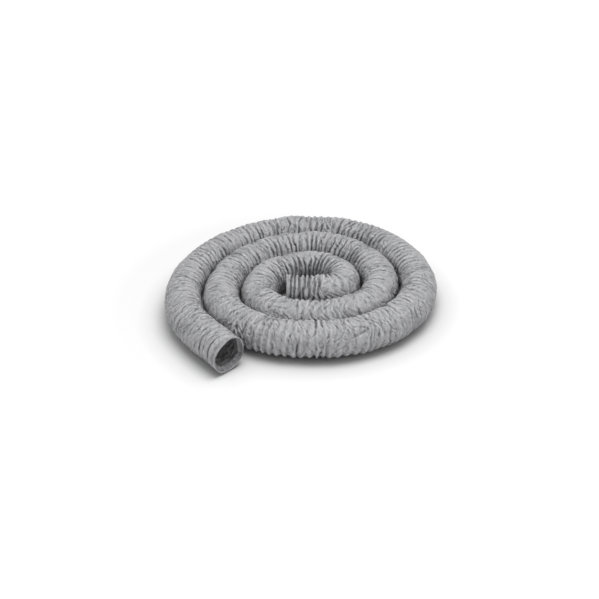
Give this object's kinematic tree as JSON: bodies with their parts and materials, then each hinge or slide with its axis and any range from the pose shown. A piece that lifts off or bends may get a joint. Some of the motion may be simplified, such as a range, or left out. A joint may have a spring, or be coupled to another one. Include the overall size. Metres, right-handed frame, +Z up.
{
  "type": "flexible air duct",
  "caption": "Flexible air duct of ribbed grey film over a wire helix, part-extended and lying in a flat spiral, with a round open end that bends, lifts and stretches.",
  "frame": {"origin": "on the floor, under the middle of the whole coil's outline", "axes": "+Z up, across the flat coil; -Y the side where the open mouth lies; +X to the right when the mouth is in front"},
  "size_m": [0.8096, 0.8134, 0.11],
  "materials": {
    "cover_film": "matt, creased",
    "spring_wire": "bright drawn",
    "liner_film": "matt, creased"
  },
  "bodies": {
    "coil": {"coil_cover": "cover_film", "coil_wire": "spring_wire", "coil_liner": "liner_film", "side_bend_cover": "cover_film", "side_bend_wire": "spring_wire", "side_bend_liner": "liner_film"},
    "side_run": {"side_run_cover": "cover_film", "side_run_wire": "spring_wire", "side_run_liner": "liner_film", "lift_bend_cover": "cover_film", "lift_bend_wire": "spring_wire", "lift_bend_liner": "liner_film"},
    "lift_run": {"lift_run_cover": "cover_film", "lift_run_wire": "spring_wire", "lift_run_liner": "liner_film", "stretch_cover": "cover_film", "stretch_wire": "spring_wire", "stretch_liner": "liner_film"},
    "mouth": {"mouth_cover": "cover_film", "mouth_wire": "spring_wire", "mouth_liner": "liner_film"}
  },
  "joints": [
    {"name": "free_end_swing", "type": "hinge", "parent": "coil", "child": "side_run", "pos_m": [-0.32968, 0.06577, 0.055], "axis": [0, 0, -1], "range_deg": [0, 40], "deforming": ["side_bend_cover", "side_bend_wire", "side_bend_liner"]},
    {"name": "free_end_lift", "type": "hinge", "parent": "side_run", "child": "lift_run", "pos_m": [-0.34448, -0.09938, 0.055], "axis": [-0.9928, -0.1194, 0], "range_deg": [0, 35], "deforming": ["lift_bend_cover", "lift_bend_wire", "lift_bend_liner"]},
    {"name": "free_end_stretch", "type": "slide", "parent": "lift_run", "child": "mouth", "axis": [0.6157, -0.788, 0], "range_m": [-0.035, 0.035], "deforming": ["stretch_cover", "stretch_wire", "stretch_liner"]}
  ]
}
